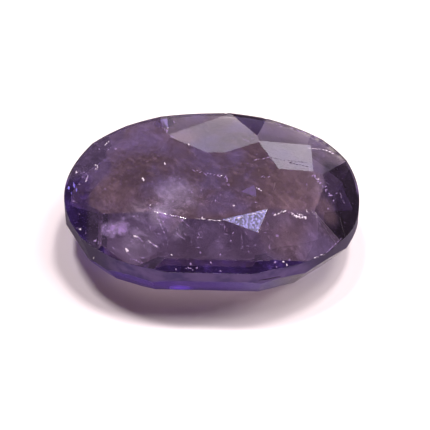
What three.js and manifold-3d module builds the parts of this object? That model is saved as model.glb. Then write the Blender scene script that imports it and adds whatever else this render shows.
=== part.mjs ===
// An oval iolite, cut by hand: a mixed crown of uneven facets, a frosted girdle and
// a stepped pavilion. It is one solid. It lies as it does on a table, face up, on
// the small flat under its pavilion. X runs along the stone, Y across it and Z up.
// The origin is on the resting surface, under the middle. Sizes are millimetres.
import * as THREE from "three";
import { mergeVertices } from "three/addons/utils/BufferGeometryUtils.js";
import Module from "manifold-3d";

// Driving dimensions
const LENGTH = 12.0;
const WIDTH = 8.1;
const PAVILION_DEPTH = 3.2; // resting flat up to the girdle's upper edge
const CROWN_HEIGHT = 1.1; // girdle's upper edge up to the table
const OUTLINE_POWER = 2.2; // 2 is an ellipse, and more is squarer
const OUTLINE_SIDES = 128;
const FRONT_FLAT = 3.93; // how far out the flat on the girdle's front stands
// A second flat, on the girdle's left front, as [azimuth, slope, reach at its upper
// edge]. It leans in below.
const LEFT_FLAT = [212, 98, 5.63];

// Crown facets. Each is [azimuth, slope, reach]: the way it faces, its slope from
// level, and how far out from the middle its plane passes. Azimuth 0 is +X and 90
// is +Y, in degrees. Mains and stars are measured at the table's level.
const CROWN_MAINS = [
  [91, 20.5, 1.21],
  [53, 21, 1.98],
  [-11, 16, 2.55],
  [-48, 25.5, 2.65],
  [-90, 28, 2.08],
  [-115, 28.5, 2.53],
  [185.5, 11.5, 2.38],
  [121, 20, 1.74],
];
const CROWN_STARS = [
  [71, 13.5, 1.31],
  [106.5, 15.5, 1.22],
  [-73, 15.5, 2.12],
  [-104, 23, 2.25],
];
// Breaks are measured at the girdle's upper edge.
const CROWN_BREAKS = [
  [97, 24.5, 4.02],
  [115, 25, 4.36],
  [126, 28, 4.66],
  [159, 31, 5.31],
  [219, 38, 5.25],
  [241, 40, 4.66],
  [270, 39, 3.93],
  [298, 38, 4.66],
  [346, 28, 5.44],
  [352, 33.5, 5.4],
  [8, 32.5, 5.46],
  [42, 25, 5.01],
  [63, 25.5, 4.36],
  [77, 25, 4.18],
];

// Corners of the pavilion's sides, once round from +X: [degrees round the outline,
// height of the girdle's frosted wall there]. The wall is thickest at the ends.
const PAVILION_CORNERS = [
  [10, 1.4],
  [33, 1.15],
  [57, 0.95],
  [80, 0.8],
  [104, 0.8],
  [126, 0.95],
  [148, 1.2],
  [169, 1.4],
  [189, 1.4],
  [214, 1.45],
  [233, 1.15],
  [252, 0.8],
  [288, 0.76],
  [306, 0.8],
  [331, 1.0],
  [352, 1.4],
];
// The pavilion's steps under the wall, each as [slope, fall]. The last runs on down
// to the resting flat. A side facing front has the first pair, one facing back the
// second and an end the third. Those between are blended, and the blend keeps to the
// ends: it follows a power of how far the side faces along X.
const PAVILION_STEPS = [
  [[70, 1.25], [44, 1.1], [46, 0.7]],
  [[38, 0.75], [39, 0.75], [25, 0.6]],
  [[20, 0.5], [35, 0.55], [13, 0.45]],
];
const FRONT_BLEND = 4;
const BACK_BLEND = 2;

// Small breaks in the surface. Each is [x, y, height over the girdle, length, width,
// thickness, turn of its length from X]. A row of bruises lies along the crown's
// front right edge, two nicks are in the back edge, and a crack opens in the wall.
const BREAKS = [
  [2.7, -1.63, 0.92, 0.26, 0.1, 0.1, 35],
  [2.9, -1.49, 0.9, 0.26, 0.11, 0.1, 30],
  [3.2, -1.6, 0.77, 0.2, 0.11, 0.1, 70],
  [3.44, -1.5, 0.73, 0.16, 0.1, 0.1, -10],
  [3.71, -1.55, 0.63, 0.34, 0.14, 0.12, 5],
  [4.08, -1.22, 0.62, 0.14, 0.1, 0.1, 120],
  [4.19, -1.41, 0.51, 0.24, 0.1, 0.1, 120],
  [0.48, 4.04, 0, 0.22, 0.12, 0.12, 0],
  [2.12, 3.84, 0, 0.24, 0.14, 0.14, -15],
  [2.4, -3.76, -0.5, 1.15, 0.3, 0.06, 13],
];

const HALF_LENGTH = LENGTH / 2;
const HALF_WIDTH = WIDTH / 2;
const GIRDLE_TOP = PAVILION_DEPTH;
const TABLE_LEVEL = PAVILION_DEPTH + CROWN_HEIGHT;
const LAP_SIZE = 5 * LENGTH; // side of the block that one cut takes away
const radians = (angle) => (angle * Math.PI) / 180;

const wasm = await Module();
wasm.setup();

// Closed geometry as a solid that can be cut.
function solid(geometry) {
  geometry.deleteAttribute("normal");
  geometry.deleteAttribute("uv");
  const merged = mergeVertices(geometry);
  return new wasm.Manifold(
    new wasm.Mesh({
      numProp: 3,
      vertProperties: merged.attributes.position.array,
      triVerts: new Uint32Array(merged.index.array),
    }),
  );
}

// Point of the girdle's outline, at an angle round from +X.
function outlinePoint(turn) {
  const angle = radians(turn);
  const bend = (v) => Math.sign(v) * Math.abs(v) ** (2 / OUTLINE_POWER);
  return new THREE.Vector2(
    HALF_LENGTH * bend(Math.cos(angle)),
    HALF_WIDTH * bend(Math.sin(angle)),
  );
}

// The rough, sawn and rounded to the outline.
function rough() {
  const points = [];
  for (let i = 0; i < OUTLINE_SIDES; i++) points.push(outlinePoint((360 * i) / OUTLINE_SIDES));
  const shape = new THREE.Shape(points);
  const blank = solid(new THREE.ExtrudeGeometry(shape, { depth: TABLE_LEVEL, bevelEnabled: false }));
  const [azimuth, slope, reach] = LEFT_FLAT;
  return blank
    .subtract(lap(-90, 90, FRONT_FLAT, GIRDLE_TOP))
    .subtract(lap(azimuth, slope, reach, GIRDLE_TOP));
}

// What a flat lap grinds away in cutting one facet, from its plane outwards. A
// slope above 90 faces down.
function lap(azimuth, slope, reach, level) {
  const block = new THREE.BoxGeometry(LAP_SIZE, LAP_SIZE, LAP_SIZE);
  block.translate(0, 0, LAP_SIZE / 2);
  block.rotateY(radians(slope));
  block.rotateZ(radians(azimuth));
  const [x, y] = [Math.cos(radians(azimuth)), Math.sin(radians(azimuth))];
  block.translate(reach * x, reach * y, level);
  return solid(block);
}

function cutCrown(stone) {
  for (const [azimuth, slope, reach] of [...CROWN_MAINS, ...CROWN_STARS])
    stone = stone.subtract(lap(azimuth, slope, reach, TABLE_LEVEL));
  for (const [azimuth, slope, reach] of CROWN_BREAKS)
    stone = stone.subtract(lap(azimuth, slope, reach, GIRDLE_TOP));
  return stone;
}

function cutPavilion(stone) {
  PAVILION_CORNERS.forEach(([corner, wall], i) => {
    const [nextCorner, nextWall] = PAVILION_CORNERS[(i + 1) % PAVILION_CORNERS.length];
    const [from, to] = [outlinePoint(corner), outlinePoint(nextCorner)];
    const run = to.clone().sub(from);
    const outward = new THREE.Vector2(run.y, -run.x).normalize();
    const azimuth = THREE.MathUtils.radToDeg(outward.angle());
    const facesFront = outward.y < 0;
    const endwards = outward.x ** (facesFront ? FRONT_BLEND : BACK_BLEND);
    let reach = from.dot(outward);
    let level = GIRDLE_TOP - (wall + nextWall) / 2;
    for (const [front, back, end] of PAVILION_STEPS) {
      const side = facesFront ? front : back;
      const [slope, fall] = [0, 1].map((k) => THREE.MathUtils.lerp(side[k], end[k], endwards));
      stone = stone.subtract(lap(azimuth, 180 - slope, reach, level));
      reach -= fall / Math.tan(radians(slope));
      level -= fall;
    }
  });
  return stone;
}

// A small break is shell-shaped, as if a low ball were pressed in.
function breakOut([x, y, rise, length, width, thickness, turn]) {
  const ball = new THREE.IcosahedronGeometry(0.5, 0);
  ball.scale(length, width, thickness);
  ball.rotateZ(radians(turn));
  ball.translate(x, y, GIRDLE_TOP + rise);
  return solid(ball);
}

let cut = cutPavilion(cutCrown(rough()));
for (const place of BREAKS) cut = cut.subtract(breakOut(place));
const { vertProperties, triVerts } = cut.getMesh();
const geometry = new THREE.BufferGeometry();
geometry.setAttribute("position", new THREE.BufferAttribute(vertProperties, 3));
geometry.setIndex(new THREE.BufferAttribute(triVerts, 1));

const iolite = new THREE.MeshStandardMaterial({
  color: 0x5b4560,
  roughness: 0.05,
  metalness: 0,
  flatShading: true,
  transparent: true,
  opacity: 0.6,
});
const stone = new THREE.Mesh(geometry, iolite);
stone.name = "iolite_stone";
// The flat front leaves the outline a little off centre, so the stone moves back.
stone.position.y = (FRONT_FLAT - HALF_WIDTH) / 2;

const group = new THREE.Group();
group.add(stone);
export default group;
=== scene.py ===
# %% [markdown]
# # An iolite, cut by hand
#
# This lesson dresses one small gemstone: an oval iolite, 12 mm long, with uneven
# facets, a frosted girdle and a stepped pavilion. Its solid comes ready made. What is
# left is what makes it a stone: glass that swallows light, worn edges, and the clouds,
# feathers and specks in it. Each step first says what the real thing is like.

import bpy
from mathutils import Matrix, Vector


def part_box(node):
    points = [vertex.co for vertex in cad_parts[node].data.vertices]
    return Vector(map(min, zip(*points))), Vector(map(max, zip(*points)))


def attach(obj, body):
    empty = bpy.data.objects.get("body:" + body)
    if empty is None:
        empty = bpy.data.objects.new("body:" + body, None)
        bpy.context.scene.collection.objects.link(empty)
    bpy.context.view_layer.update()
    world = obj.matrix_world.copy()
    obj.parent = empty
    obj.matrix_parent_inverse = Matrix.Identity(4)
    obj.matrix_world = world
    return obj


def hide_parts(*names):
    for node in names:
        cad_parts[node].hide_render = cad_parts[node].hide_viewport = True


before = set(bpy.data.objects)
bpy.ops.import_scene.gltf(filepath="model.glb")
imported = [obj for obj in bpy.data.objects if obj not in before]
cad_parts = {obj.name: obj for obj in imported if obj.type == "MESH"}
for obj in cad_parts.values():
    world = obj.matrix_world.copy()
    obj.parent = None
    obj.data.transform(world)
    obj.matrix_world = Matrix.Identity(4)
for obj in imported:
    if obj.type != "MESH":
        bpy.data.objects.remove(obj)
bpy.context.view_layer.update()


# %% [markdown]
# ## Tools and units
#
# Blender counts in metres, and a gem is measured in millimetres. The stone could be
# modelled large and scaled down, but it has to swallow the right share of light on
# its way through. So it keeps its real size, and lengths are written as so many MM.

# %% Tools and units
import math
import random

import bmesh
import bpy
from mathutils import Matrix, Vector
from mathutils.bvhtree import BVHTree

MM = 0.001
scene = bpy.context.scene
stone_low, stone_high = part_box("iolite_stone")
print("stone, mm:", [round(v / MM, 2) for v in stone_high - stone_low])


# %% [markdown]
# ## The camera
#
# The stone is photographed from above its front edge with a long lens. Blender could
# aim the camera with a constraint. Here it is placed as a photographer does it: at a
# distance, at a height angle, and then moved a little sideways and down, until the
# stone sits where it does in the picture. The vectors are used again further down.

# %% Camera
CAMERA_DISTANCE = 100 * MM
CAMERA_ELEVATION = math.radians(55)
CAMERA_AZIMUTH = math.radians(1.5)
NEAREST_SEEN = 10 * MM
PICTURE_PIXELS = 430
PIXELS_PER_MM = 24.66
AIM = Vector((0, -0.06 * MM, 3.2 * MM))
AIM_PIXEL = (211.8, 192.5)  # where the picture shows the point that is aimed at
PIXEL = MM / PIXELS_PER_MM

right = Vector((math.cos(CAMERA_AZIMUTH), math.sin(CAMERA_AZIMUTH), 0))
back = Vector((-right.y, right.x, 0))
sight = back * math.cos(CAMERA_ELEVATION) - Vector((0, 0, math.sin(CAMERA_ELEVATION)))
up = right.cross(sight)
off_right = (PICTURE_PIXELS / 2 - AIM_PIXEL[0]) * PIXEL
off_up = (AIM_PIXEL[1] - PICTURE_PIXELS / 2) * PIXEL
camera_place = AIM - sight * CAMERA_DISTANCE + right * off_right + up * off_up

lens = bpy.data.cameras.new("camera")
lens.angle = 2 * math.atan(PICTURE_PIXELS / 2 * PIXEL / CAMERA_DISTANCE)
lens.clip_start = NEAREST_SEEN
camera = bpy.data.objects.new("camera", lens)
turn = Matrix((right, up, -sight)).transposed()
camera.matrix_world = Matrix.Translation(camera_place) @ turn.to_4x4()
scene.collection.objects.link(camera)
scene.camera = camera
scene.view_settings.view_transform = "Standard"
print("lens angle, degrees:", round(math.degrees(lens.angle), 2))


# %% [markdown]
# ## Arithmetic on sockets
#
# A finish is worked out by shader nodes. Placing them one by one hides the sum that
# they do. So one small class stands for a node's output, and + - and * on it add the
# Math nodes. A finish then reads as a formula.

# %% A socket that can be added and multiplied
class Wire:
    """One output of a shader node. Arithmetic on it adds Math nodes."""

    def __init__(self, tree, socket=None):
        self.tree = tree
        self.socket = socket

    def node(self, kind, settings, inputs, output=0):
        """Adds a node, its settings first and then its inputs, and gives one output."""
        node = self.tree.nodes.new(kind)
        for name, value in settings.items():
            setattr(node, name, value)
        for name, value in inputs.items():
            if isinstance(value, Wire):
                self.tree.links.new(value.socket, node.inputs[name])
            else:
                node.inputs[name].default_value = value
        return Wire(self.tree, node.outputs[output] if node.outputs else None)

    def calculate(self, operation, *values):
        """A Math node that works on these values."""
        return self.node("ShaderNodeMath", {"operation": operation}, dict(enumerate(values)))

    def __add__(self, other):
        return self.calculate("ADD", self, other)

    def __sub__(self, other):
        return self.calculate("SUBTRACT", self, other)

    def __mul__(self, other):
        return self.calculate("MULTIPLY", self, other)

    def __rsub__(self, other):
        return self.calculate("SUBTRACT", other, self)

    __radd__ = __add__
    __rmul__ = __mul__

    def size(self):
        """This value without its sign."""
        return self.calculate("ABSOLUTE", self)

    def power(self, exponent):
        """This value to a power."""
        return self.calculate("POWER", self, exponent)

    def larger(self, other):
        """This value or the other, whichever is larger."""
        return self.calculate("MAXIMUM", self, other)

    def rises(self, low, high):
        """0 below low and 1 above high, with a soft step between."""
        inputs = {"Value": self, "From Min": low, "From Max": high}
        return self.node("ShaderNodeMapRange", {"interpolation_type": "SMOOTHSTEP"}, inputs)

    def colours(self, low, high):
        """A colour that goes from low, where this is 0, to high, where it is 1."""
        return self.node("ShaderNodeMix", {"data_type": "RGBA"}, {0: self, 6: low, 7: high}, 2)


print("Wire has:", [name for name in vars(Wire) if not name.startswith("__")])


# %% [markdown]
# ## The paper
#
# The stone lies on white paper. A world colour could stand for it, but a see-through
# stone shows what is under it, and its shadow needs somewhere to fall. So the paper is
# a real sheet, far wider than the picture.

# %% Paper
PAPER_SIZE = 2.0
PAPER_GAP = 0.02 * MM  # the stone lies on the paper's fibres, not in them
PAPER_WHITE = (0.9, 0.9, 0.9, 1)
PAPER_ROUGHNESS = 0.9


def new_finish(name):
    """An empty material, and a wire that starts its nodes."""
    material = bpy.data.materials.new(name)
    material.use_nodes = True
    material.node_tree.nodes.clear()
    return material, Wire(material.node_tree)


def paper():
    half = PAPER_SIZE / 2
    corners = [(-half, -half), (half, -half), (half, half), (-half, half)]
    mesh = bpy.data.meshes.new("paper")
    mesh.from_pydata([(x, y, -PAPER_GAP) for x, y in corners], [], [(0, 1, 2, 3)])
    sheet = bpy.data.objects.new("paper", mesh)
    scene.collection.objects.link(sheet)
    material, graph = new_finish("paper")
    inputs = {"Base Color": PAPER_WHITE, "Roughness": PAPER_ROUGHNESS}
    surface = graph.node("ShaderNodeBsdfPrincipled", {}, inputs)
    graph.node("ShaderNodeOutputMaterial", {}, {"Surface": surface})
    mesh.materials.append(material)


paper()
print("paper, m:", PAPER_SIZE)


# %% [markdown]
# ## The light
#
# Two small lamps stand almost overhead, so that the shadow hardly leaves the stone.
# Two wider ones to the right soften it, and all four light the paper until it shows
# white. Five faint panels stand low behind: the back facets mirror them, and look grey
# where their neighbours stay dark. One bright sky could light all of it, but a lamp
# of its own can be moved until the right facet lights up. A lamp's watts are worked
# out from how bright its panel should look, because that is what a facet mirrors.

# %% Lights
LIGHT_DISTANCE = 0.5
WATTS = 4  # for each square metre of a panel, and each unit of its radiance
WARM = (1.0, 0.88, 0.9)
COOL = (0.95, 0.95, 1.1)
LAMPS = [  # name, azimuth, elevation, width and height in degrees, radiance and colour
    ("key", 44, 76.5, 7, 7, 84, WARM),
    ("second", 133, 76.5, 7, 7, 82, WARM),
    ("wide", 14, 68, 14, 12, 15, WARM),
    ("side", 5, 45, 14, 17, 13, WARM),
    ("behind_left", 92, 15.5, 11, 11, 1.45, COOL),
    ("low_left", 93.5, 6.2, 9, 6, 0.4, COOL),
    ("behind_right", 74.5, 17.8, 8, 6.5, 2.75, COOL),
    ("low_right", 78, 7, 7, 6.5, 0.4, COOL),
    ("beside", 65, 13.5, 8, 12, 0.3, COOL),
]


def direction(azimuth, elevation):
    """A unit vector. Azimuth 0 is +X and 90 is +Y, in degrees."""
    a, e = math.radians(azimuth), math.radians(elevation)
    return Vector((math.cos(a) * math.cos(e), math.sin(a) * math.cos(e), math.sin(e)))


def panel_side(angle):
    """How long a panel's side is, when it takes up this angle seen from the stone."""
    return 2 * LIGHT_DISTANCE * math.tan(math.radians(angle / 2))


def softbox(name, azimuth, elevation, width, height, radiance, colour):
    """A flat soft light that faces the stone."""
    light = bpy.data.lights.new(name, "AREA")
    light.shape = "RECTANGLE"
    light.size = panel_side(width)
    light.size_y = panel_side(height)
    light.energy = WATTS * radiance * light.size * light.size_y
    light.color = colour
    lamp = bpy.data.objects.new(name, light)
    lamp.location = direction(azimuth, elevation) * LIGHT_DISTANCE
    lamp.rotation_euler = lamp.location.to_track_quat("Z", "Y").to_euler()
    scene.collection.objects.link(lamp)
    print(name, "watts:", round(light.energy, 2))


for lamp_values in LAMPS:
    softbox(*lamp_values)

# %% The room
ROOM = (0.15, 0.088, 0.1)  # what a facet mirrors where no lamp stands
world = bpy.data.worlds.new("room")
world.use_nodes = True
world.node_tree.nodes["Background"].inputs["Color"].default_value = (*ROOM, 1)
scene.world = world
print("room:", ROOM)


# %% [markdown]
# ## The cut stone
#
# A cutter's facets are flat and meet in lines, but years of wear round those lines a
# little, and a rubbed edge shines as a thin pale line. A Bevel modifier could round
# them. Here the mesh tools do it, because they say which faces they made: those get a
# mark, and the finish below makes what is marked rough.

# %% Worn edges
EDGE_WEAR = 0.008 * MM  # width taken off each side of an edge
FLAT = math.radians(0.5)  # faces that differ less are one facet
SHARP = math.radians(4)
SHORTEST_WORN = 0.15 * MM
WELD = 0.0005 * MM


def worn_shape():
    """The stone's faces, with their long sharp edges rubbed down and marked."""
    shape = bmesh.new()
    shape.from_mesh(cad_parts["iolite_stone"].data)
    bmesh.ops.remove_doubles(shape, verts=shape.verts, dist=WELD)
    bmesh.ops.dissolve_limit(shape, angle_limit=FLAT, verts=shape.verts, edges=shape.edges)
    worn_mark = shape.faces.layers.float.new("worn")
    edges = [e for e in shape.edges if e.calc_face_angle(0) > SHARP and e.calc_length() > SHORTEST_WORN]
    made = bmesh.ops.bevel(
        shape, geom=edges, offset=EDGE_WEAR, segments=1, affect="EDGES", clamp_overlap=False
    )
    for face in made["faces"]:
        face[worn_mark] = 1
    print("worn edges:", len(edges), "faces:", len(shape.faces))
    return shape


stone_shape = worn_shape()


# %% [markdown]
# ## What lies behind a pixel
#
# Clouds and marks sit where the picture shows them. Their places could be measured
# with a ruler and typed in as X and Y. It is surer to go backwards: a ray goes from the
# camera through a pixel, and what it meets on the stone is the place.

# %% A ray through a pixel
stone_surface = BVHTree.FromBMesh(stone_shape)


def seen_at(x, y):
    """Where the ray through a pixel meets the stone, the facet's normal and the ray."""
    across_lens = (x - PICTURE_PIXELS / 2) * PIXEL
    up_lens = (PICTURE_PIXELS / 2 - y) * PIXEL
    ray = (right * across_lens + up * up_lens + sight * CAMERA_DISTANCE).normalized()
    surface, normal, _, _ = stone_surface.ray_cast(camera_place, ray)
    return surface, normal, ray


print("aim, mm:", [round(v / MM, 2) for v in seen_at(*AIM_PIXEL)[0]])


# %% [markdown]
# ## Sorting the surface
#
# On the real stone the girdle is frosted and the facets are polished, and each part
# has its own wear. Each face could get a material of its own. Here one finish reads
# where a point lies and which way its face looks, and makes masks from that: 1 on the
# part and 0 elsewhere. Masks have soft rims and can overlap, which faces can't.

# %% Where a point lies and how its face looks
iolite, graph = new_finish("iolite")
place = graph.node("ShaderNodeTexCoord", {}, {}, "Object")
normal = graph.node("ShaderNodeNewGeometry", {}, {}, "True Normal")
worn = graph.node("ShaderNodeAttribute", {"attribute_name": "worn"}, {}, "Fac")


def part_of(vector, axis):
    """One of the three numbers of a vector."""
    return vector.node("ShaderNodeSeparateXYZ", {}, {0: vector}, axis)


def report(step):
    print(step + ":", len(iolite.node_tree.nodes), "nodes so far")


along = part_of(place, "X")
across = part_of(place, "Y")
leftwards = 0 - along
rightwards = part_of(normal, "X")
forwards = 0 - part_of(normal, "Y")
upwards = part_of(normal, "Z")
report("places and directions")

# %% Parts that face one way
# Each pair is a soft step. The numbers say how much of a face's normal points up,
# forwards or to the right: 1 is all of it, 0 none, and -1 is the other way.
WALL_ENDS = (0.15, 0.2)
STRIP_STARTS = (-0.66, -0.6)
STRIP_ENDS = (-0.2, -0.1)
STEPS_END = (-0.3, -0.1)
CROWN_STARTS = (0.2, 0.5)
MAINS_START = (0.88, 0.93)
STEEP_ENDS = (0.8, 0.84)
FRONT_BREAKS = (0.5, 0.54)
FRONT_SIDE = (0.38, 0.42)
RIGHT_END = (0.36, 0.42)


def band(value, start, end):
    """1 between two soft steps."""
    return value.rises(*start) - value.rises(*end)


wall = 1 - upwards.size().rises(*WALL_ENDS)
strip = band(upwards, STRIP_STARTS, STRIP_ENDS)
crown = upwards.rises(*CROWN_STARTS)
breaks = (1 - upwards.rises(*MAINS_START)) * crown
front_breaks = (1 - upwards.rises(*STEEP_ENDS)) * crown * forwards.rises(*FRONT_BREAKS)
front_side = forwards.rises(*FRONT_SIDE) * crown
right_end = rightwards.rises(*RIGHT_END) * crown
report("parts by direction")

# %% Parts by place
# Each pair is a soft step again, now in lengths from the middle of the stone.
TIPS = (3.2 * MM, 4.8 * MM)
BACK_STEPS = (0.5 * MM, 2 * MM)
LEFT_END = (4.8 * MM, 5.1 * MM)
LEFT_END_STOPS = (0, 0.9 * MM)
DARK_END = (4.3 * MM, 4.7 * MM)
DARK_END_FRONT = (-1.4 * MM, -1 * MM)
DARK_END_BACK = (1.2 * MM, 1.6 * MM)
RIGHT_SIDE = (2.2 * MM, 3.6 * MM)
LEFT_SIDE = (2.0 * MM, 3.4 * MM)
OUTLINE_POWER = 2.2
BACK_HALF = (0, 1 * MM)
EDGE = (0.955, 0.97)  # of the reach below, which is 0 in the middle

length = along.size()
width = across.size()
tips = length.rises(*TIPS)
outer_steps = across.rises(*BACK_STEPS).larger(tips) * (1 - upwards.rises(*STEPS_END))
left_end = leftwards.rises(*LEFT_END) * (1 - across.rises(*LEFT_END_STOPS)) * crown
dark_end = along.rises(*DARK_END) * band(across, DARK_END_FRONT, DARK_END_BACK) * crown
right_side = along.rises(*RIGHT_SIDE)
left_side = leftwards.rises(*LEFT_SIDE)
reach = (length * (1 / stone_high.x)).power(OUTLINE_POWER)
reach = reach + (width * (1 / stone_high.y)).power(OUTLINE_POWER)  # 1 on the outline
back_edge = reach.rises(*EDGE) * crown * across.rises(*BACK_HALF)
deep = front_breaks.larger(left_end)
report("parts by place")

# %% Single facets
OTHER_FACET = math.cos(math.radians(3))  # a face that looks 3 degrees away is another
SAME_FACET = math.cos(math.radians(1))


def facet(azimuth, slope):
    """1 on the facet that faces so, as its cutter set it, and 0 on the others."""
    inputs = {0: normal, 1: direction(azimuth, 90 - slope)}
    likeness = normal.node("ShaderNodeVectorMath", {"operation": "DOT_PRODUCT"}, inputs, "Value")
    return likeness.rises(OTHER_FACET, SAME_FACET)


star = facet(-73, 15.5)
left_star = facet(-104, 23)
dark_break = facet(77, 25)
report("facets")

# %% Spots
SPOTS = {  # pixel over the middle, start and end of the soft rim in mm, and strength
    "cloud": ((176, 198), 0.2, 1.4, 0.7),
    "cloud_core": ((160, 213), 0.1, 0.8, 1),
    "cloud_left": ((139, 210), 0.1, 0.75, 0.55),
    "cloud_front": ((178, 230), 0.1, 0.6, 0.5),
    "front_cloud": ((137, 243), 0.2, 1.1, 0.5),
    "left_cloud": ((110, 230), 0, 0.8, 0.9),
    "left_cloud_end": ((123, 227), 0, 0.8, 0.9),
    "right_cloud": ((322, 190), 0.1, 0.7, 0.15),
    "left_brown": ((116, 190), 0.4, 1.2, 1),
    "right_brown": ((288, 192), 0.5, 2, 1),
    "front_brown": ((290, 238), 0.2, 1.6, 0.75),
    "front_right": ((318, 244), 0.3, 1.2, 1),
    "first_main": ((140, 140), 0.5, 1.6, 1),
    "pale_main": ((180, 137), 0.1, 1.1, 1),
    "right_haze": ((324, 207), 0.2, 0.7, 1),
    "right_haze_end": ((330, 217), 0.15, 0.55, 1),
    "sliver": ((164.5, 123), 0.36, 0.5, 1),
    "dull_edge": ((331, 229), 0.7, 0.8, 1),
    "glint": ((180, 288), 0.1, 0.7, 1),
}


def spot(name):
    """A round mask on the surface: its strength in the middle, and 0 outside."""
    pixel, inner, outer, strength = SPOTS[name]
    inputs = {0: place, 1: seen_at(*pixel)[0]}
    distance = place.node("ShaderNodeVectorMath", {"operation": "DISTANCE"}, inputs, "Value")
    return (1 - distance.rises(inner * MM, outer * MM)) * strength


right_brown = spot("right_brown")
front_brown = spot("front_brown")
brown = right_brown.larger(spot("left_brown")).larger(front_brown)
front_right = spot("front_right")
first_main = spot("first_main")
right_haze = spot("right_haze").larger(spot("right_haze_end"))
report("spots")


# %% [markdown]
# ## Milk in the crystal
#
# Iolite is seldom quite clear. Fine films and grains make it milky, in mottles, in
# slanting wisps and in brighter clouds. A volume that scatters light would be the
# true way, but something so faint needs many samples before it stops being noise.
# Here a small share of the surface is matt instead. That share is the milk, and it is
# worked out from textures and from the masks above.

# %% Textures of the milk
TEXTURES = {  # lumps to a millimetre, detail, and the noise where it starts and is full
    "mottles": (0.8, 5, 0.36, 0.68),
    "wisps": (2.8, 7, 0.48, 0.72),
    "grit": (6, 8, 0.42, 0.68),
    "dotted": (1.2, 2, 0.46, 0.6),
    "rim": (3, 6, 0.44, 0.58),
}
WISP_TURN = -38
WISP_STRETCH = (1.2, 0.6, 1)
DOTS_PER_MM = 4.2
DOT_SIZE = 0.2


def noise(vector, lumps, detail):
    """Soft random values round 0.5, with so many lumps to a millimetre."""
    inputs = {"Vector": vector, "Scale": lumps / MM, "Detail": detail}
    return vector.node("ShaderNodeTexNoise", {}, inputs)


def patches(vector, lumps, detail, low, high):
    """Patches with ragged rims: 1 in them and 0 between."""
    return noise(vector, lumps, detail).rises(low, high)


def stretched(vector, degrees, scale):
    """A vector for a texture that is turned and drawn out."""
    inputs = {"Vector": vector, "Rotation": (0, 0, math.radians(degrees)), "Scale": scale}
    return vector.node("ShaderNodeMapping", {"vector_type": "TEXTURE"}, inputs)


def strewn_dots(vector, dots_per_mm, size):
    """1 at points strewn through a vector, 0 between them."""
    inputs = {"Vector": vector, "Scale": dots_per_mm / MM}
    distance = vector.node("ShaderNodeTexVoronoi", {}, inputs, "Distance")
    return 1 - distance.rises(size / 2, size)


mottles = patches(place, *TEXTURES["mottles"])
wisps = patches(stretched(place, WISP_TURN, WISP_STRETCH), *TEXTURES["wisps"])
grit = patches(place, *TEXTURES["grit"])
dots = strewn_dots(place, DOTS_PER_MM, DOT_SIZE) * patches(place, *TEXTURES["dotted"])
report("textures")

# %% Clouds
LEFT_CLOUD_NOISE = (3.5, 7)  # lumps to a millimetre, and detail
LEFT_CLOUD_RAGGED = 1.5  # how much the noise eats into the cloud's rim
LEFT_CLOUD_RIM = (1.1, 1.75)
PALE_MAIN_STARTS = (0.92, 0.93)
PALE_MAIN_ENDS = (0.95, 0.96)
RIM_REACH = (0.84, 0.92)
RIM_RIGHT = (1.9 * MM, 2.5 * MM)
RIM_BACK = (1.5 * MM, 2 * MM)


def largest(pairs):
    """The largest of some masks, each times its strength."""
    (first, strength), *others = pairs
    most = first * strength
    for mask, strength in others:
        most = most.larger(mask * strength)
    return most


cloud = spot("cloud").larger(spot("cloud_core")).larger(spot("front_cloud"))
cloud = cloud.larger(spot("cloud_left")).larger(spot("cloud_front"))
left_cloud = spot("left_cloud").larger(spot("left_cloud_end"))
left_cloud = left_cloud + noise(place, *LEFT_CLOUD_NOISE) * LEFT_CLOUD_RAGGED
left_cloud = left_cloud.rises(*LEFT_CLOUD_RIM)
lilac_cloud = largest([(cloud, 1), (left_cloud, 1), (spot("right_cloud"), 1), (left_star, 0.4)])
pale_main = spot("pale_main") * band(upwards, PALE_MAIN_STARTS, PALE_MAIN_ENDS)
bruised_rim = reach.rises(*RIM_REACH) * along.rises(*RIM_RIGHT) * across.rises(*RIM_BACK) * crown
bruised_rim = bruised_rim * patches(place, *TEXTURES["rim"])
report("clouds")

# %% How milky each place is
EVERYWHERE = 0.048  # share of milk where no mask adds to it
IN_CLOUDS = 0.07  # what a cloud adds, before its wisps and mottles
CLEARED = 0.9  # how much of the milk a wholly clear part loses


def added(base, pairs):
    """A base, and on it some masks, each times its share."""
    total = base
    for mask, share in pairs:
        total = mask * share + total
    return total


clear = largest([(right_end.larger(dark_end), 0.9), (dark_break, 0.8), (deep, 0.56 - wisps * 0.4)])
milk = added(
    EVERYWHERE,
    [
        (mottles, 0.065),
        (wisps, 0.055),
        (grit, 0.03),
        (dots, 0.12),
        (first_main, 0.03),
        (front_right, 0.04),
        (right_brown, 0.02),
        (left_cloud, 0.1),
        (pale_main, 0.1),
    ],
)
milk = milk + lilac_cloud * added(IN_CLOUDS, [(wisps, 0.13), (mottles, 0.06), (grit, 0.03)])
milk = milk * (1 - clear * CLEARED)
milk = added(milk, [(bruised_rim, 0.16), (right_haze, 0.05 + mottles * 0.03)])
report("milk")


# %% [markdown]
# ## The milk's colour
#
# Iolite changes colour with direction: brown through the table, and violet along the
# stone. Blender's glass has one colour for all directions. A second, violet glass
# could be mixed in by the angle of view, but then the colour would slide over the
# stone as the camera moves. So the milk takes the colour that the real stone shows at
# each place: brown under the table, and violet under the facets round it.

# %% Colours of the milk
BROWN_MILK = (0.66, 0.44, 0.54, 1)
VIOLET_MILK = (0.45, 0.33, 0.7, 1)
CLOUD_MILK = (0.78, 0.66, 1.0, 1)
PATCH_MILK = (0.6, 0.42, 0.95, 1)
DEEP_MILK = (0.3, 0.16, 0.95, 1)
RIM_MILK = (0.66, 0.62, 0.62, 1)


def layered(colour, layers):
    """A colour with others laid over it, each where its mask is 1."""
    for mask, paint in layers:
        colour = mask.colours(colour, paint)
    return colour


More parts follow.
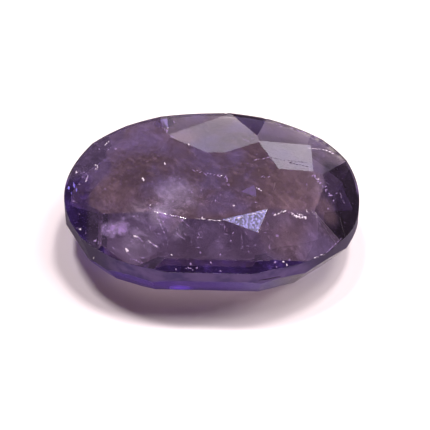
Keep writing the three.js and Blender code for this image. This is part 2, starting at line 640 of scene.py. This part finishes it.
violet = largest(
    [
        (breaks, 1 - front_brown),
        (front_right, 0.8),
        (front_side, 1 - front_brown * 0.9),
        (first_main, 0.7),
    ]
)
milk_colour = layered(
    BROWN_MILK,
    [
        (mottles * (1 - brown), VIOLET_MILK),
        (violet, VIOLET_MILK),
        (lilac_cloud, left_cloud.larger(left_star).colours(CLOUD_MILK, PATCH_MILK)),
        (deep, DEEP_MILK),
        (right_haze * 0.8, BROWN_MILK),
        (bruised_rim, RIM_MILK),
    ],
)
report("colours of the milk")


# %% [markdown]
# ## Wear and frost
#
# The girdle was never polished: it is ground and looks frosted. At the tips its frost
# is darker, as painted shade, because the lamps light the ends more. One star facet under
# the front edge is rubbed matt, edges are chipped, and the back edge is darkened in a
# thin line. Frost could be modelled as pits, but they are smaller than a pixel. A
# rougher glass with a share of matt colour looks the same.

# %% How rough each part is
WEAR = {  # lumps to a millimetre, detail, and the noise where it starts and is full
    "rubbed": (1.7, 5, 0.46, 0.7),
    "chips": (2.2, 2, 0.56, 0.66),
    "grain": (14, 3, 0.4, 0.62),
    "frost": (1.6, 6, 0.36, 0.64),
}
POLISHED = 0.04
RUBBED = 0.05  # how much rougher the rubbed patches are

chips = patches(place, *WEAR["chips"]) * worn
rubbed = patches(place, *WEAR["rubbed"])
rough = largest(
    [
        (POLISHED + rubbed * RUBBED, 1),
        (wall, 0.5),
        (strip, 0.15),
        (chips, 0.35),
        (star, 0.62),
        (left_star, 0.25),
        (spot("dull_edge") * worn, 0.7),
    ]
)
report("roughness")

# %% How frosted each part is
grain = patches(place, *WEAR["grain"])
frosted = largest(
    [
        (milk, 1),
        (wall, 0.95),
        (star, 0.02 + grain * 0.62),
        # on the front steps the frost paints a violet glow, with a painted glint at the glint spot
        (strip, 0.13 + spot("glint") * 0.42),
        (chips, 0.2),
        (back_edge, 0.8),
    ]
)
report("frost")

# %% Colours of the frost
WALL_FROST = (0.07, 0.048, 0.16, 1)
PALE_WALL_FROST = (0.14, 0.095, 0.24, 1)
# the tips' darker frost is painted shade, since the lamps light the ends more than the sides
TIP_PAINTED_SHADE = (0.05, 0.036, 0.08, 1)
# the front steps' violet frost is a painted glow, paler on the right
STRIP_PAINTED_GLOW = (0.24, 0.12, 0.95, 1)
PALE_FROST = (0.35, 0.28, 0.4, 1)
STAR_FROST = (0.45, 0.45, 1.0, 1)
EDGE_FROST = (0.05, 0.045, 0.055, 1)

clouded = patches(place, *WEAR["frost"])
wall_frost = layered(WALL_FROST, [(clouded, PALE_WALL_FROST), (tips, TIP_PAINTED_SHADE)])
strip_painted_glow = right_side.colours(STRIP_PAINTED_GLOW, PALE_FROST)
frost_colour = layered(
    milk_colour,
    [
        (wall.larger(strip), wall.colours(strip_painted_glow, wall_frost)),
        (star, STAR_FROST),
        (back_edge, EDGE_FROST),
    ],
)
report("colours of the frost")


# %% [markdown]
# ## The glass itself
#
# Iolite is clear glass to Blender: it bends light, and it swallows more of it the
# longer the way through. The second part is a volume, not a surface colour, so thin
# places stay pale by themselves. The steps under the girdle, a dark facet at the back
# and the right end look far more violet than the rest, because there the eye looks
# along the stone. They get a tint on their surface as well.

# %% Light that the crystal swallows
TRANSMITTANCE = (0.7, 0.66, 0.71)  # what 1 mm of crystal lets through
losses = [-math.log(share) / MM for share in TRANSMITTANCE]
density = max(losses)
absorbed = (*[1 - loss / density for loss in losses], 1)
print("absorption per metre:", round(density), [round(c, 3) for c in absorbed])

# %% Tints of the facets
CLEAR = (1.0, 0.99, 0.97, 1)
DARK_BREAK_TINT = (0.27, 0.27, 0.95, 1)
DARK_END_TINT = (0.25, 0.2, 0.42, 1)
OUTER_STEP_TINT = (0.09, 0.07, 0.4, 1)
FRONT_STEP_TINT = (0.13, 0.06, 0.45, 1)
LEFT_STEP_TINT = (0.035, 0.012, 0.3, 1)
PALE_TINT = (0.8, 0.65, 0.75, 1)

strip_tint = layered(FRONT_STEP_TINT, [(right_side, PALE_TINT), (left_side, LEFT_STEP_TINT)])
tint = layered(
    CLEAR,
    [
        (dark_break, DARK_BREAK_TINT),
        # painted shade: darkens a pale sliver where the view runs through the back step to the paper
        (spot("sliver"), OUTER_STEP_TINT),
        (dark_end, DARK_END_TINT),
        (outer_steps, OUTER_STEP_TINT),
        (strip.larger(wall), strip_tint),
    ],
)
report("tints")

# %% Glass under frost
IOR = 1.545
FROST_ROUGHNESS = 0.6
FROST_SHINE = 0.05

inputs = {"Base Color": tint, "Roughness": rough, "IOR": IOR, "Transmission Weight": 1.0}
glass = graph.node("ShaderNodeBsdfPrincipled", {}, inputs)
inputs = {
    "Base Color": frost_colour,
    "Roughness": FROST_ROUGHNESS,
    "Specular IOR Level": FROST_SHINE,
}
frost = graph.node("ShaderNodeBsdfPrincipled", {}, inputs)
surface = graph.node("ShaderNodeMixShader", {}, {0: frosted, 1: glass, 2: frost})
inputs = {"Color": absorbed, "Density": density}
volume = graph.node("ShaderNodeVolumeAbsorption", {}, inputs)
graph.node("ShaderNodeOutputMaterial", {}, {"Surface": surface, "Volume": volume})
report("whole finish")


# %% [markdown]
# ## The stone takes its finish
#
# All pieces of this lesson are one stone, so each rides on the same body. The worn
# mesh takes the place of the plain solid. The solid could be bevelled where it is, but
# then the size of the part itself would change.

# %% Stone
def piece(name, shape, material):
    """An object from this shape that rides with the stone."""
    mesh = bpy.data.meshes.new(name)
    shape.to_mesh(mesh)
    shape.free()
    mesh.materials.append(material)
    made = bpy.data.objects.new(name, mesh)
    scene.collection.objects.link(made)
    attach(made, "root")
    print(name, "faces:", len(mesh.polygons))
    return made


stone = piece("polished_iolite", stone_shape, iolite)
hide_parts("iolite_stone")


# %% [markdown]
# ## Chips and dashes
#
# Knocks leave bruises on the facets, and old cracks that healed leave rows of tiny
# films. A texture could paint them, but it would lie flat in every light. Each is
# modelled as a thin closed sliver that catches light as the real one does. A sliver is
# drawn from pixel to pixel, as a pen would draw over the picture, and lies on the facet
# that it finds there.

# %% Chips
CHIP_MIDDLE = (0.35, 0.65)  # where along a chip it is widest
CHIP_HEIGHT = 0.3  # of its width
DASH_LENGTH = (0.7, 1.1)  # of the room that a dash has in its row
DASH_WIDTH = (0.7, 1.2)
LONGEST_DASH = 1.5 * MM
rng = random.Random(4)


def chip(shape, tip, end, normal, width):
    """A thin closed sliver from tip to end, half sunk in the surface it lies on."""
    middle = tip.lerp(end, rng.uniform(*CHIP_MIDDLE))
    side = normal.cross(end - tip).normalized() * width / 2
    height = normal * width * CHIP_HEIGHT
    rim = [middle + side, middle + height, middle - side, middle - height]
    corners = [shape.verts.new(v) for v in rim]
    first, last = shape.verts.new(tip), shape.verts.new(end)
    for i in range(len(corners)):
        j = (i + 1) % len(corners)
        shape.faces.new((corners[i], corners[j], last))
        shape.faces.new((corners[j], corners[i], first))


def mark(shape, start, end, width, dashes=1, wander=0.0):
    """Chips in a row along the surface, from pixel to pixel. Widths are pixels too."""
    for i in range(dashes):
        ends = []
        for share in (i / dashes, (i + rng.uniform(*DASH_LENGTH)) / dashes):
            x = start[0] + (end[0] - start[0]) * share + rng.gauss(0, wander)
            y = start[1] + (end[1] - start[1]) * share + rng.gauss(0, wander)
            ends.append(seen_at(x, y)[:2])
        (tip, facet_normal), (tail, _) = ends
        if tip and tail and (tail - tip).length < LONGEST_DASH:
            chip(shape, tip, tail, facet_normal, width * PIXEL * rng.uniform(*DASH_WIDTH))


print("random numbers are seeded, so each run strews the same chips")

# %% Specks
SPECK_CHIPS = 3
SPECK_TURN = 0.5  # how far the chips of a speck turn away from each other
SPECK_REACH = (0.5, 1.1)  # this and the next two are shares of the speck's size
SPECK_WANDER = 0.2
SPECK_WIDTH = 0.8


def speck(shape, x, y, size):
    """A broken grain: a few chips that cross, mostly one way."""
    way = rng.uniform(0, math.pi)
    for _ in range(SPECK_CHIPS):
        lean = way + rng.gauss(0, SPECK_TURN)
        half = size * rng.uniform(*SPECK_REACH)
        over = (math.cos(lean) * half, math.sin(lean) * half)
        middle_x = x + rng.gauss(0, size * SPECK_WANDER)
        middle_y = y + rng.gauss(0, size * SPECK_WANDER)
        start = (middle_x - over[0], middle_y - over[1])
        end = (middle_x + over[0], middle_y + over[1])
        mark(shape, start, end, size * SPECK_WIDTH)


print("chips in a speck:", SPECK_CHIPS)


# %% [markdown]
# ## Finishes of the marks
#
# Bruises are crushed stone and look white, and white chips also stand in as painted
# glints and edge highlights. Healed cracks are lilac, scratches dark, and a few thin films
# mirror light like silver. A violet plate is a painted reflection, and blue chips are
# painted glints. All are too small for a picture to show more than their colour, so a
# plain one would nearly do. But side by side they would look cut from one sheet. So each
# finish clouds two close colours together.

# %% Finishes of the marks
MINERAL_LUMPS = (9, 2, 0.35, 0.65)  # to a millimetre, detail, and where they start and are full
MINERAL_ROUGHER = 0.1  # how much rougher the paler lumps are


def mineral(name, colour, pale, metallic, roughness):
    """Finish of the small things: two close colours, clouded together."""
    material, graph = new_finish(name)
    cloudy = patches(graph.node("ShaderNodeTexCoord", {}, {}, "Object"), *MINERAL_LUMPS)
    inputs = {
        "Base Color": cloudy.colours((*colour, 1), (*pale, 1)),
        "Roughness": roughness + cloudy * MINERAL_ROUGHER,
        "Metallic": metallic,
    }
    surface = graph.node("ShaderNodeBsdfPrincipled", {}, inputs)
    graph.node("ShaderNodeOutputMaterial", {}, {"Surface": surface})
    print(name, "nodes:", len(material.node_tree.nodes))
    return material


# A finish's name, its colour, the paler colour, metallic and roughness
# white chips: partly knocks and grains, partly painted glints and edge highlights
white = mineral("white_mineral_and_painted_glint", (0.6, 0.52, 0.66), (0.9, 0.88, 0.95), 0.0, 0.5)
lilac = mineral("lilac_mineral", (0.2, 0.13, 0.3), (0.38, 0.28, 0.55), 0.0, 0.5)
dark = mineral("dark_mineral", (0.03, 0.02, 0.04), (0.08, 0.06, 0.1), 0.0, 0.8)
# a violet plate that paints a reflection under the table
painted_violet_reflection_finish = mineral("painted_violet_reflection", (0.07, 0.045, 0.115), (0.09, 0.055, 0.16), 0.0, 0.8)
# blue chips that paint glints at the left end
blue = mineral("blue_flash", (0.12, 0.07, 0.4), (0.2, 0.18, 0.9), 0.0, 0.3)
silver = mineral("flake_silver", (0.6, 0.5, 0.85), (0.9, 0.85, 1.0), 1.0, 0.25)


# %% [markdown]
# ## White marks
#
# The brightest marks are white chips: knocks along the edge between the table and the
# front facets, a curl near the left end, and single grains. Some of them are painted
# glints and edge highlights. They could be strewn at random, but the eye knows the stone
# by them. So they are listed one by one, where they are.

# %% White marks
BRUISE_DASHES = 4
BRUISE_WANDER = 0.4
# some of these grains are painted glints
SPECKS = [  # pixel across and down, and size in pixels
    (143.3, 179, 2.2), (165.2, 163.7, 1.6), (150, 205.2, 1.4), (202, 218.5, 1.6),
    (234, 205.3, 1.3), (127.4, 250.6, 2.6), (135.3, 236.3, 1.7), (171.5, 254.8, 1.2),
    (80, 229, 1.5), (76.3, 172.6, 1.7), (221.5, 175.5, 1.2), (93.3, 258.3, 1.3),
    (189, 144.5, 1.3), (283, 261.5, 1.3), (287.3, 265, 1.5), (318.5, 179.5, 1.3),
]
# dashes on the star's top edge and on the right wall's upper edge are painted highlights
BRUISES = [  # from pixel, to pixel, width in pixels
    ((274, 215.5), (286, 210), 2.2), ((291, 212), (293.5, 217), 1.6),
    ((295, 216), (307, 217.5), 2.8), ((306, 210), (309, 214), 1.2),
    ((315, 213), (317, 218), 1.2), ((202, 218.7), (222, 221), 0.9),
    ((222.4, 220.8), (270, 210.3), 0.9), ((308, 148), (322, 149.5), 0.9),
    ((322, 149), (334, 154), 1.8), ((314, 258), (319, 256.5), 1.0),
    ((320, 255.5), (325, 254.5), 1.0), ((154, 211), (158.5, 214), 1.4),
    ((105, 145), (109, 141), 1.2), ((256, 187), (262, 191), 1.3),
    ((148.5, 240.5), (151, 242.5), 1.2), ((155, 245.5), (157, 247.5), 1.2),
    ((95, 164.5), (97.5, 166), 1.1), ((97.6, 166), (97, 169.5), 1.3),
    ((97, 169.5), (94.8, 168.4), 0.9), ((88, 176), (85.5, 181.5), 1.2),
    ((134, 235.5), (137, 237.5), 1.8), ((275, 214.5), (285, 211), 2.4),
    ((296, 217), (307, 218.5), 3.0), ((292, 213), (296, 216.5), 2.0),
    ((299, 214.5), (305, 216), 1.8),
]
shape = bmesh.new()
for x, y, size in SPECKS:
    speck(shape, x, y, size)
for start, end, thickness in BRUISES:
    mark(shape, start, end, thickness, BRUISE_DASHES, BRUISE_WANDER)
piece("white_marks_and_painted_highlights", shape, white)


# %% [markdown]
# ## Lilac marks
#
# Fainter lines run through the stone: healed cracks, feathers and dust, all in the
# stone's own colour. The ones that stand out are listed; one of them, along the upper
# edge of the right wall, is a painted highlight. The rest only make the crystal look
# lived in, so they are strewn, densest under the front facets.

# %% Lilac streaks and specks
STREAKS = [  # from pixel, to pixel, width, dashes and wander
    ((149, 241), (155, 245.5), 1.6, 2, 0.3), ((151, 243), (158, 248), 1.4, 3, 0.4),
    ((137, 238), (143, 241), 1.4, 3, 0.6), ((155.6, 214), (160, 223), 0.8, 3, 0.4),
    ((129.6, 258.5), (143, 263.4), 1.3, 5, 0.6), ((186, 267), (194, 270.5), 1.3, 4, 0.6),
    ((306.6, 183), (307, 187), 1.2, 1, 0), ((193, 170), (222, 177), 1.2, 9, 0.9),
    ((260, 177), (270, 177), 1.0, 3, 0.6), ((225, 176), (229, 188), 1.2, 6, 1.2),
    ((158, 213), (186, 219), 1.3, 9, 1.6), ((313, 175), (327, 190), 1.6, 8, 1.2),
    ((327, 190), (334, 200), 1.4, 5, 1.2), ((340, 193), (345, 205), 0.8, 4, 0.8),
    ((112, 226), (129, 222.5), 1.0, 6, 0.7), ((106, 231), (116, 228), 1.4, 3, 0.8),
    ((92, 240), (102, 244), 1.4, 6, 1.6), ((163, 127), (168, 132), 1.3, 4, 0.8),
    ((170, 136), (175, 138), 1.5, 3, 0.6), ((297, 130.5), (322, 139), 1.5, 8, 0.8),
    ((242, 139), (251, 142), 1.0, 4, 0.7), ((254, 160.5), (269, 157), 0.9, 4, 0.5),
    ((82, 176), (89, 182), 1.3, 5, 0.8), ((160, 223), (165, 234), 1.0, 3, 0.4),
    # the first streak on this line paints a soft highlight on the right wall's upper edge
    ((326, 253), (342, 238), 0.8, 6, 0.2), ((80, 173.5), (84, 172), 1.0, 2, 0.2),
    ((84, 172), (88, 176), 1.0, 3, 0.2), ((275, 123), (285, 126), 1.0, 3, 0.5),
]
DIM_SPECKS = [  # pixel across and down, and size in pixels
    (103.8, 213.8, 1.2), (73.8, 201.2, 1.3), (87, 178.5, 1.6), (79.5, 184.4, 1.2),
    (156.9, 212.5, 1.4), (259, 189, 1.5), (277.2, 236, 2.2), (200.4, 252.8, 1.4),
    (191, 264, 1.8), (197, 268, 1.6), (211, 263, 1.5), (220.4, 271, 1.5),
    (274.5, 262.3, 1.5), (276.5, 267, 1.5), (289.4, 260, 1.5), (174, 122, 1.4),
    (99, 149, 1.3), (116, 149, 1.4), (167, 131, 1.6), (192, 192, 1.2),
    (281, 126.5, 1.3), (292, 128, 1.2), (233, 233, 1.2), (220, 255, 1.4),
    (328, 209, 1.2), (142, 263, 1.3),
]
shape = bmesh.new()
for start, end, thickness, dashes, wander in STREAKS:
    mark(shape, start, end, thickness, dashes, wander)
for x, y, size in DIM_SPECKS:
    speck(shape, x, y, size)
print("listed streaks and specks:", len(STREAKS) + len(DIM_SPECKS))

# %% Lilac dust
DUST = 60
DUST_ACROSS = (200, 70)  # middle and spread, in pixels
DUST_DOWN = (205, 38)
DUST_SIZE = (0.5, 1.1)
FRONT_DUST = 46
FRONT_ACROSS = (170, 55)
FRONT_DOWN = (237, 12)
FRONT_LEAN = (35, 30)  # middle and spread, in degrees
FRONT_REACH = (1, 3.5)
FRONT_WIDTH = (0.4, 0.8)

for _ in range(DUST):
    speck(shape, rng.gauss(*DUST_ACROSS), rng.gauss(*DUST_DOWN), rng.uniform(*DUST_SIZE))
for _ in range(FRONT_DUST):
    x, y = rng.gauss(*FRONT_ACROSS), rng.gauss(*FRONT_DOWN)
    lean = math.radians(rng.gauss(*FRONT_LEAN))
    half = rng.uniform(*FRONT_REACH)
    over = (math.cos(lean) * half, math.sin(lean) * half)
    start, end = (x - over[0], y - over[1]), (x + over[0], y + over[1])
    mark(shape, start, end, rng.uniform(*FRONT_WIDTH))
piece("lilac_marks", shape, lilac)


# %% [markdown]
# ## Scratches
#
# The grey facet at the back right has two dark scratches across it, and the crack in
# the girdle has a dark lip. Cut into the mesh, they would be lost between two samples.
# A thin dark sliver on the surface shows from any side.

# %% Scratches
SCRATCH_WANDER = 0.2
SCRATCHES = [  # from pixel, to pixel, width and dashes
    ((270, 157), (283, 160.5), 1.6, 4), ((283, 160), (308, 163), 1.6, 7),
    ((289, 162.5), (296, 163.5), 2.2, 2), ((296, 164), (308, 166.6), 2.2, 4),
    ((262, 279.6), (283, 277), 1.0, 4), ((242, 193), (254, 197.4), 1.5, 3),
]
shape = bmesh.new()
for start, end, thickness, dashes in SCRATCHES:
    mark(shape, start, end, thickness, dashes, SCRATCH_WANDER)
piece("scratches", shape, dark)


# %% [markdown]
# ## A painted violet reflection and blue flashes
#
# Under the table a small violet reflection shows, and at the left end a few points flash
# blue, where light comes back along the stone. A lamp inside would light up all of it.
# So both are painted: the reflection is a thin violet plate with its corners behind four
# pixels, and a flash is a chip of a pure blue, a painted glint.

# %% Violet reflection, painted
PLATE_LIFT = 0.004 * MM
PAINTED_REFLECTION_CORNERS = [(240.8, 191.6), (256.3, 197), (256, 190), (253.8, 184.9)]


def plate(shape, corners):
    """A thin plate on the surface, with its corners behind these pixels."""
    found = [seen_at(*corner)[:2] for corner in corners]
    lift = found[0][1] * PLATE_LIFT
    low = [shape.verts.new(surface - lift) for surface, _ in found]
    high = [shape.verts.new(surface + lift) for surface, _ in found]
    shape.faces.new(high)
    shape.faces.new(low[::-1])
    for i in range(len(corners)):
        j = (i + 1) % len(corners)
        shape.faces.new((low[i], low[j], high[j], high[i]))


shape = bmesh.new()
plate(shape, PAINTED_REFLECTION_CORNERS)
piece("painted_violet_reflection", shape, painted_violet_reflection_finish)

# %% Blue flashes, painted glints
BLUE_FLASHES = [  # from pixel, to pixel, width in pixels
    ((68.2, 186), (69.2, 191), 2.6), ((73.2, 182), (74.8, 188), 2.2),
    ((76.2, 188), (76.6, 192), 1.6), ((71, 192), (72, 195), 1.2),
]
shape = bmesh.new()
for start, end, thickness in BLUE_FLASHES:
    mark(shape, start, end, thickness)
piece("blue_flashes", shape, blue)


# %% [markdown]
# ## Veils
#
# Healed cracks deep in the crystal hold films of gas. A film mirrors light like
# silver, and a haze of them is a veil. A texture could paint it on the surface, but
# flakes shift behind the facets as the view moves, as real ones do. A flake isn't
# where it seems to be, because the facet above it bends the view. So a bent ray finds
# its place, and it is turned until it throws light from above back to the camera.

# %% Bent rays
SKIN = 0.01 * MM
FLASH_LIGHT = direction(40, 79)  # close to the key lamp
GUESSES = 3


def refracted(ray, facet_normal, ratio):
    """The ray after it crosses a surface, by Snell's law."""
    cosine = -ray.dot(facet_normal)
    inner = math.sqrt(1 - ratio**2 * (1 - cosine**2))
    return (ray * ratio + facet_normal * (ratio * cosine - inner)).normalized()


def inside(x, y, share):
    """A point a share of the way through the stone behind a pixel, and the bent ray."""
    surface, facet_normal, ray = seen_at(x, y)
    if surface is None:
        return None, None
    inner = refracted(ray, facet_normal, 1 / IOR)
    way = stone_surface.ray_cast(surface + inner * SKIN, inner)[3]
    return surface + inner * way * share, inner


def light_from(point):
    """The way from a point inside to the light above, through the facet over it."""
    facet_normal = Vector((0, 0, 1))
    for _ in range(GUESSES):
        towards = -refracted(-FLASH_LIGHT, facet_normal, 1 / IOR)
        facet_normal = stone_surface.ray_cast(point, towards)[1] or facet_normal
    return towards


print("middle of the stone behind the aim, mm:", [round(v / MM, 2) for v in inside(*AIM_PIXEL, 0.5)[0]])

# %% Flakes inside
FLAKE_SIZE = 0.045 * MM
FLAKE_SPREAD = 9  # degrees that flakes turn away from a perfect flash
FLAKE_WIDTH = (0.4, 0.9)  # of its length
VEILS = [  # middle pixel, spread across and down, number, nearest and farthest share
    ((168, 207), (17, 13), 500, 0.15, 0.7),
    ((115, 228), (11, 6), 160, 0.1, 0.4),
    ((318, 188), (12, 14), 160, 0.1, 0.5),
    ((85, 195), (9, 22), 120, 0.05, 0.5),
    ((200, 190), (70, 30), 200, 0.05, 0.9),
]


def flake(shape, x, y, share):
    """A flake inside, behind a pixel, turned to flash, or nearly so."""
    point, ray = inside(x, y, share)
    if point is None:
        return
    facing = (light_from(point) - ray).normalized()
    side = facing.orthogonal().normalized()
    side.rotate(Matrix.Rotation(rng.uniform(0, 2 * math.pi), 3, facing))
    facing.rotate(Matrix.Rotation(math.radians(abs(rng.gauss(0, FLAKE_SPREAD))), 3, side))
    reach_out = side * FLAKE_SIZE / 2
    chip(shape, point - reach_out, point + reach_out, facing, FLAKE_SIZE * rng.uniform(*FLAKE_WIDTH))


shape = bmesh.new()
for (x, y), (spread_across, spread_down), number, nearest, farthest in VEILS:
    for _ in range(number):
        at_x, at_y = rng.gauss(x, spread_across), rng.gauss(y, spread_down)
        flake(shape, at_x, at_y, rng.uniform(nearest, farthest))
piece("veils", shape, silver)


# %% [markdown]
